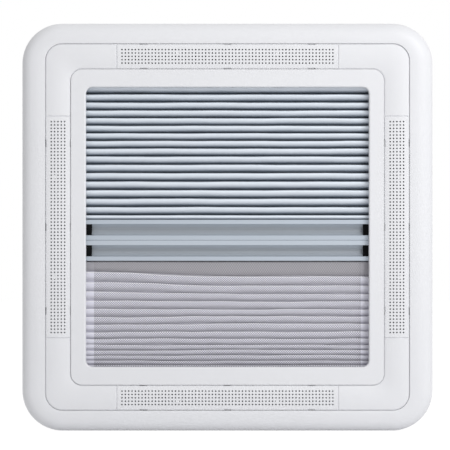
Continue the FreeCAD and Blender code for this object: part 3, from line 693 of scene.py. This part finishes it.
# ---- Rails: two guide rails at the sides, painted white, and a head and a foot rail that hold the far ends
# of the cloths, satin anodised. All are extruded aluminium, and four screws join them at the corners.
def anodised(name, light, dark, roughness, metallic):
    """Extruded metal with fine lines along X. Where a piece says how sunk it is, the oxide scatters more and
    mirrors less, and its colour is painted lighter, partly as a paler matt finish and partly as painted
    light;
    the deepest part is darker with painted shade."""
    material, g = new_material(name)
    place = g.node("ShaderNodeTexCoord", output="Object")
    lines = g.noise(g.stretched(place, (2.0, 900.0, 2600.0)), 1.0, 3.0)
    cloud = g.noise(g.stretched(place, (5.0, 30.0, 30.0)), 1.0, 2.0)
    bump = g.node("ShaderNodeBump", None, {"Strength": 0.3, "Distance": 0.00003, "Height": lines})
    sunk = g.node("ShaderNodeAttribute", {"attribute_name": "sunk"}, output="Fac")
    # the trough is painted lighter (partly a paler matt finish, partly painted light), and its floor gets
    # painted shade
    trough_matt_and_painted_light, painted_floor_shade = (0.56, 0.60, 0.65, 1), (0.44, 0.45, 0.46)
    matt = sunk.power(0.5)
    colour = g.blend(matt, g.blend(lines * 0.5 + cloud * 0.5, dark, light), trough_matt_and_painted_light)
    shaded = g.node("ShaderNodeVectorMath", {"operation": "MULTIPLY"}, {0: colour, 1: painted_floor_shade})
    metal = g.node("ShaderNodeBsdfPrincipled", None, {
        # painted shade on the trough's floor, strongest where it is deepest
        "Base Color": g.blend(sunk.power(3.5), colour, shaded),
        "Roughness": roughness + 0.06 * lines,
        "Metallic": metallic * (1 - 0.75 * matt),
        "Normal": bump,
    })
    surface(g, metal)
    return material


rail_paint = moulded_plastic("white_rail_paint", light=(0.86, 0.86, 0.88, 1), dark=(0.82, 0.82, 0.84, 1),
                             depth=0.00001)
rail_metal = anodised("anodised_rail", light=(0.80, 0.81, 0.83, 1), dark=(0.74, 0.75, 0.77, 1),
                      roughness=0.42, metallic=1.0)
for side in ("left", "right"):
    finish_piece(merged_copy("guide_rail_" + side, "rail_" + side), rail_paint, "frame",
                 ["rail_" + side])
for end in ("head", "foot"):
    finish_piece(merged_copy(end + "_rail_extrusion", end + "_rail"), rail_metal, "frame",
                 [end + "_rail"])

# ---- Pull bars: hollow extrusions in anodised aluminium, with a soft finger trough along the front and a
# slit for the cloth. They are sawn to length, and the end glides close them.
BAR_HALF = 176.4 * MM
BAR_FRONT, BAR_BACK = -9.7 * MM, 2.3 * MM
BAR_HEIGHT = 24.4 * MM
BLIND_BAR_Z, SCREEN_BAR_Z = -15.5 * MM, -40.5 * MM
BAR_WALL = 1.3 * MM
TROUGH_FLOOR = -2.5 * MM
TROUGH = (5.4 * MM, 19.2 * MM)
SLIT = (-4.6 * MM, -2.8 * MM)
CORNER = 0.5 * MM
SQUARENESS = 2.4
LIP_SOFTNESS = 1.25
TROUGH_STEPS = 32
MEET_LIP = 0.25 * MM           # each bar reaches this far towards the other, to close the line between them


def bar_outline(slit_up):
    """The extrusion's (y, z) section as one closed line that runs in and out through the slit."""
    low, high = TROUGH
    half, middle = (high - low) / 2, (high + low) / 2
    bend = [(CORNER * (1 - math.sin(a)), CORNER * (1 - math.cos(a))) for a in np.radians((0, 30, 60, 90))]
    front = [(BAR_FRONT + across, BAR_HEIGHT - along) for along, across in reversed(bend)]
    trough = []
    for n in range(TROUGH_STEPS + 1):
        t = 1 - 2 * n / TROUGH_STEPS
        depth = (1 - abs(t) ** SQUARENESS) ** LIP_SOFTNESS
        trough.append((BAR_FRONT + (TROUGH_FLOOR - BAR_FRONT) * depth, middle + half * t))
    foot = [(y, BAR_HEIGHT - z) for y, z in reversed(front)]
    back = [(BAR_BACK, 0.0), (BAR_BACK, BAR_HEIGHT), (SLIT[1], BAR_HEIGHT)]
    inner_back, inner_front = BAR_BACK - BAR_WALL, BAR_FRONT + BAR_WALL
    web = TROUGH_FLOOR + BAR_WALL
    top, bottom = BAR_HEIGHT - BAR_WALL, BAR_WALL
    hollow = [(SLIT[1], top), (inner_back, top), (inner_back, bottom), (inner_front, bottom),
              (inner_front, low - BAR_WALL), (web, low - BAR_WALL), (web, high + BAR_WALL),
              (inner_front, high + BAR_WALL), (inner_front, top), (SLIT[0], top)]
    line = [(SLIT[0], BAR_HEIGHT)] + front + trough + foot + back + hollow
    return line if slit_up else [(y, BAR_HEIGHT - z) for y, z in line]


def extruded(name, line, z0):
    """The section run along X, each point marked with how far it is sunk into the trough."""
    shape = bmesh.new()
    sunk = shape.verts.layers.float.new("sunk")
    left = [shape.verts.new((-BAR_HALF, y, z0 + z)) for y, z in line]
    right = [shape.verts.new((BAR_HALF, y, z0 + z)) for y, z in line]
    for (y, z), *ends in zip(line, left, right):
        across = (z - (TROUGH[0] + TROUGH[1]) / 2) / ((TROUGH[1] - TROUGH[0]) / 2)
        for vert in ends:
            vert[sunk] = max(0.0, 1 - across ** 2) if y < BAR_BACK - BAR_WALL else 0.0
    for n in range(len(line)):
        m = (n + 1) % len(line)
        shape.faces.new((left[n], left[m], right[m], right[n]))
    shape.faces.new(left)
    shape.faces.new(right)
    bmesh.ops.triangulate(shape, faces=[f for f in shape.faces if len(f.verts) > 4])
    return closed_mesh(name, shape)


bar_metal = anodised("anodised_bar", light=(0.44, 0.485, 0.54, 1), dark=(0.39, 0.435, 0.49, 1),
                     roughness=0.46, metallic=0.85)
for kind, z0, slit_up in (("blind", BLIND_BAR_Z, True), ("screen", SCREEN_BAR_Z, False)):
    name = kind + "_bar_extrusion"
    bar = new_piece(name, extruded(name, bar_outline(slit_up), z0))
    for vert in bar.data.vertices:
        if slit_up and vert.co.z < z0 + CORNER:
            vert.co.z -= MEET_LIP
        if not slit_up and vert.co.z > z0 + BAR_HEIGHT - CORNER:
            vert.co.z += MEET_LIP
    finish_piece(bar, bar_metal, kind + "_carriage", [kind + "_bar"])

# ---- End glides: black plugs in the ends of the pull bars, injection moulded in a plastic that slides well.
# They run in the guide rails.
def black_moulding():
    material, g = new_material("black_moulding")
    place = g.node("ShaderNodeTexCoord", output="Object")
    grain = g.noise(place, 900.0, 2.0)
    bump = g.node("ShaderNodeBump", None, {"Strength": 0.3, "Distance": 0.00002, "Height": grain})
    surface(g, g.node("ShaderNodeBsdfPrincipled", None, {
        "Base Color": g.blend(grain, (0.002, 0.0022, 0.0026, 1), (0.005, 0.0055, 0.0065, 1)),
        "Roughness": 0.5 + 0.1 * grain, "Normal": bump, "Specular IOR Level": 0.05}))
    return material


black_plastic = black_moulding()
for kind in ("blind", "screen"):
    for side in ("left", "right"):
        node = f"glide_{kind}_{side}"
        finish_piece(merged_copy(node + "_plug", node), black_plastic, kind + "_carriage",
                     [node])

# ---- Blackout blind: closed silver-grey cloth, pressed into folds. Its upper end is held in the head rail
# and its lower end in the slit of the upper pull bar, and its sides run in the guide rails.
CLOTH_HALF = 182.3 * MM
CLOTH_COLUMNS = 61
SLIT_MIDDLE = sum(SLIT) / 2
TUCK = 0.30 * MM               # a cloth's end goes this far into its bar
SAG_RUN, END_RUN = 200.0 * MM, 10.0 * MM
JUST_BEFORE = 0.001            # keeps an end row in the last fold
CREST_FROM = 0.999             # share of a fold's reach
BLIND_BACK = 0.5 * MM
BLIND_REACH = 8.8 * MM
BLIND_TOP, BLIND_BOTTOM = 181.05 * MM, 9.25 * MM
BLIND_LAST_FOLD = 7.6 * MM
BLIND_FOLDS = 18
# (depth, height, painted shade) from one crease down to the next
BLIND_FOLD_SHAPE = [
    (0.0, 0.0, 1.0), (0.45, 0.012, 0.8), (0.80, 0.035, 0.5), (0.95, 0.07, 0.1), (1.0, 0.14, 0.0),
    (0.995, 0.24, 0.0), (0.975, 0.35, 0.10), (0.935, 0.46, 0.26), (0.875, 0.56, 0.46), (0.79, 0.66, 0.68),
    (0.68, 0.74, 0.84), (0.54, 0.81, 0.94), (0.36, 0.87, 1.0), (0.16, 0.92, 1.0), (0.0, 0.96, 1.0),
    (0.0, 1.0, 1.0)]


def pleat_rows(creases, shape, y_back, reach, first_dim):
    """(y, z, place counted in folds, painted shade) down the cloth. creases run from the top down, the first
    fold has at least first_dim of painted shade, and the last fold is drawn in at its foot."""
    rows = []
    for number, (top, bottom) in enumerate(zip(creases, creases[1:])):
        for depth, height, dim in shape[:-1]:
            if number == 0:
                dim = max(dim, first_dim)
            if number == len(creases) - 2:
                height *= 2 - height
            rows.append((y_back - depth * reach, top - height * (top - bottom), number + height, dim))
    rows.append((y_back - shape[-1][0] * reach, creases[-1], len(creases) - 1 - JUST_BEFORE, shape[-1][2]))
    return rows


def pleated_cloth(name, rows, y_back, reach, wave, sag, thickness):
    """A pleated sheet with a UV map in metres of flat cloth, and its flat length. wave is how far the folds
    stray in depth and in height. sag lists how far each fold hangs down on the side of +X."""
    draw = np.random.default_rng(7)
    folds = int(rows[-1][2]) + 1
    phases = draw.uniform(0, 2 * math.pi, (folds + 1, 3))
    xs = np.linspace(-CLOTH_HALF, CLOTH_HALF, CLOTH_COLUMNS)
    built = bmesh.new()
    uv = built.loops.layers.uv.new("cloth")
    shade = built.verts.layers.float.new("shade")
    painted_crest_highlight = built.verts.layers.float.new("painted_crest_highlight")
    grid, lengths = [], [0.0]
    for n, (y, z, fold, dim) in enumerate(rows):
        if n:
            lengths.append(lengths[-1] + math.hypot(y - rows[n - 1][0], z - rows[n - 1][1]))
        row = []
        for x in xs:
            a, b, c = phases[int(fold)]
            slack = 0.5 - 0.5 * math.cos(math.pi * min(1, (x + CLOTH_HALF) / SAG_RUN))
            hang = np.interp(fold, range(len(sag)), sag) * slack
            sway = math.sin(9 * x / CLOTH_HALF + a) * 0.6 + math.sin(21 * x / CLOTH_HALF + b) * 0.4
            edge = min(1.0, max(0.0, (y_back - y) / reach))
            end_ease = min(1, (z - rows[-1][1]) / END_RUN, (rows[0][1] - z) / END_RUN)
            lift = sway * edge + 0.5 * math.sin(5 * x / CLOTH_HALF + c)
            vert = built.verts.new((x, y + wave[0] * sway * edge,
                                    z - hang * end_ease + wave[1] * end_ease * lift))
            vert[shade] = dim
            # marks the fold crests, which the screen's material lightens as a painted highlight
            vert[painted_crest_highlight] = 1.0 if edge > CREST_FROM else 0.0
            row.append(vert)
        grid.append(row)
    for n in range(len(rows) - 1):
        for m in range(CLOTH_COLUMNS - 1):
            face = built.faces.new((grid[n][m], grid[n + 1][m], grid[n + 1][m + 1], grid[n][m + 1]))
            for loop, (i, j) in zip(face.loops, ((n, m), (n + 1, m), (n + 1, m + 1), (n, m + 1))):
                loop[uv].uv = (xs[j], -lengths[i])
    piece = new_piece(name, mesh_from(name, built))
    thick = piece.modifiers.new("thickness", "SOLIDIFY")
    thick.thickness, thick.offset = thickness, 0
    scene_graph = bpy.context.evaluated_depsgraph_get()
    solid = bpy.data.meshes.new_from_object(piece.evaluated_get(scene_graph))
    piece.modifiers.clear()
    piece.data = solid
    solid.name = name
    return piece, lengths[-1]


def blackout_material():
    material, g = new_material("blackout_cloth")
    uv = g.node("ShaderNodeUVMap", {"uv_map": "cloth"})
    fibre = g.noise(g.stretched(uv, (900.0, 2400.0, 1.0)), 1.0, 2.0)
    cloud = g.noise(g.stretched(uv, (30.0, 60.0, 1.0)), 1.0, 3.0)
    bump = g.node("ShaderNodeBump", None, {"Strength": 0.3, "Distance": 0.00004, "Height": fibre})
    shade = g.node("ShaderNodeAttribute", {"attribute_name": "shade"}, output="Fac")
    lit = g.blend(cloud * 0.7 + fibre * 0.3, (0.63, 0.68, 0.74, 1), (0.75, 0.80, 0.865, 1))
    surface(g, g.node("ShaderNodeBsdfPrincipled", None, {
        # painted shade: the cloth is blended towards dark blue-grey in the fold valleys and the first fold
        "Base Color": g.blend(shade, lit, (0.22, 0.255, 0.305, 1)),
        "Roughness": 0.45 + 0.1 * fibre, "Metallic": 0.40, "Normal": bump}))
    return material


# the creases hang a little unevenly, in a slow wave down the blind
pitch = (BLIND_TOP - BLIND_BOTTOM - BLIND_LAST_FOLD) / (BLIND_FOLDS - 1)
creases = [BLIND_TOP]
for n in range(1, BLIND_FOLDS):
    sag = 1.0 * MM + 1.4 * MM * math.cos(2 * math.pi * (n - 3) / 14)
    creases.append(BLIND_TOP - pitch * n - sag)
creases.append(BLIND_BOTTOM)
rows = pleat_rows(creases, BLIND_FOLD_SHAPE, BLIND_BACK, BLIND_REACH, first_dim=0.25)
# the end tucked into the bar's slit gets full painted shade
rows.append((SLIT_MIDDLE, BLIND_BOTTOM - TUCK, BLIND_FOLDS - JUST_BEFORE, 1.0))
cloth, flat_length = pleated_cloth("blackout_pleats", rows, BLIND_BACK, BLIND_REACH,
                                   wave=(0.15 * MM, 0.22 * MM), sag=[0.0, 0.0], thickness=0.4 * MM)
finish_piece(cloth, blackout_material(), "frame", ["blackout_fabric"], smooth_angle=60)
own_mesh(cloth)

# ---- Insect screen: fine woven mesh with closed hems at its sides, pressed into folds that get closer to the
# foot rail, which holds its lower end. Its upper end is held in the slit of the lower pull bar.
MESH_HALF, HEM_EASE = 159.5 * MM, 1.0 * MM
CELL = 2.8 * MM
SCREEN_TOP, SCREEN_BOTTOM = -40.85 * MM, -181.05 * MM
SCREEN_FOLDS = 18
SCREEN_FIRST_FOLD = 12.6 * MM
SCREEN_MEAN_FOLD = (SCREEN_TOP - SCREEN_BOTTOM) / SCREEN_FOLDS
SCREEN_FOLD_STEP = 2 * (SCREEN_FIRST_FOLD - SCREEN_MEAN_FOLD) / (SCREEN_FOLDS - 1)
SCREEN_BACK = -0.8 * MM
SCREEN_REACH = 5.2 * MM
# (depth, height, painted shade) from one crease down to the next
SCREEN_FOLD_SHAPE = [
    (0.25, 0.0, 0.35), (0.50, 0.02, 0.3), (0.75, 0.045, 0.2), (0.93, 0.065, 0.1), (1.0, 0.10, 0.0),
    (0.985, 0.15, 0.0), (0.97, 0.22, 0.0), (0.955, 0.32, 0.03), (0.94, 0.45, 0.12), (0.90, 0.56, 0.3),
    (0.83, 0.66, 0.5), (0.70, 0.76, 0.6), (0.50, 0.88, 0.55), (0.32, 0.96, 0.45), (0.25, 1.0, 0.35)]
# from the top fold down
SCREEN_SAG = [h * MM for h in (2.0, 5.5, 4.5, 3.2, 1.2, 0.4, -1.2, -1.6, -0.4,
                               0.0, 0.0, -1.0, -1.0, 0.0, 0.0)]


def mesh_material():
    material, g = new_material("screen_mesh")
    uv = g.node("ShaderNodeUVMap", {"uv_map": "cloth"})
    u, v, _ = g.split(uv)
    turn = 2 * math.pi / CELL
    weave = (u * turn).sine() * (v * turn).sine()
    hem = ((abs(u) - MESH_HALF) / HEM_EASE).highest(0).lowest(1)
    thread = ((0.5 + 1.4 * weave).highest(0).lowest(1)).highest(hem)
    cloud = g.noise(g.stretched(uv, (40.0, 80.0, 1.0)), 1.0, 2.0)
    shade = g.node("ShaderNodeAttribute", {"attribute_name": "shade"}, output="Fac")
    painted_crest_highlight = g.node("ShaderNodeAttribute", {"attribute_name": "painted_crest_highlight"}, output="Fac")
    fibre = g.blend(cloud, (0.74, 0.735, 0.83, 1), (0.82, 0.815, 0.91, 1))
    yarn = g.blend(thread, (0.34, 0.335, 0.38, 1), fibre)
    # painted highlight: the fold crests are blended towards white
    lit = g.blend(painted_crest_highlight * (0.4 + 0.6 * thread), yarn, (1.0, 1.0, 1.0, 1))
    surface(g, g.node("ShaderNodeBsdfPrincipled", None, {
        # painted shade: the mesh is blended towards dark grey in the fold valleys and the first fold
        "Base Color": g.blend(shade * (0.95 - 0.25 * thread), lit, (0.34, 0.33, 0.355, 1)),
        "Roughness": 0.55 + 0.1 * cloud, "Alpha": 0.80 + 0.18 * thread, "Sheen Weight": 0.3}))
    return material


creases = [SCREEN_TOP]
for n in range(SCREEN_FOLDS):
    creases.append(creases[-1] - (SCREEN_FIRST_FOLD - SCREEN_FOLD_STEP * n))
# the end tucked into the bar's slit and the first fold get painted shade
rows = [(SLIT_MIDDLE, SCREEN_TOP + TUCK, 0, 0.9)]
rows += pleat_rows(creases, SCREEN_FOLD_SHAPE, SCREEN_BACK, SCREEN_REACH, first_dim=1.3)
screen, flat_length = pleated_cloth("screen_pleats", rows, SCREEN_BACK, SCREEN_REACH,
                                    wave=(0.35 * MM, 0.5 * MM), sag=SCREEN_SAG, thickness=0.3 * MM)
finish_piece(screen, mesh_material(), "frame", ["insect_screen"], smooth_angle=60)
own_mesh(screen)

# ---- Retainers and screws: flat plastic strips that keep the cloths' ends from pulling out of their slits,
# and small zinc-plated steel screws that hold the collar and the ends of the rails.
def plain_finish(name, colour, roughness, metallic):
    material, g = new_material(name)
    place = g.node("ShaderNodeTexCoord", output="Object")
    grain = g.noise(place, 700.0, 2.0)
    bump = g.node("ShaderNodeBump", None, {"Strength": 0.2, "Distance": 0.00002, "Height": grain})
    darker = tuple(c * 0.85 for c in colour) + (1,)
    surface(g, g.node("ShaderNodeBsdfPrincipled", None, {
        "Base Color": g.blend(grain, darker, colour + (1,)), "Roughness": roughness + 0.1 * grain,
        "Metallic": metallic, "Normal": bump}))
    return material


strip_plastic = plain_finish("retainer_strip", (0.70, 0.71, 0.73), roughness=0.45, metallic=0.0)
zinc = plain_finish("zinc_screw", (0.62, 0.62, 0.60), roughness=0.3, metallic=1.0)
strips = ["retainer_blind_head", "retainer_blind_bar", "retainer_screen_bar", "retainer_screen_foot"]
screws = ["collar_screws", "rail_screws"]
for name in strips + screws:
    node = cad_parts[name]
    node.data.materials.clear()
    node.data.materials.append(strip_plastic if name in strips else zinc)
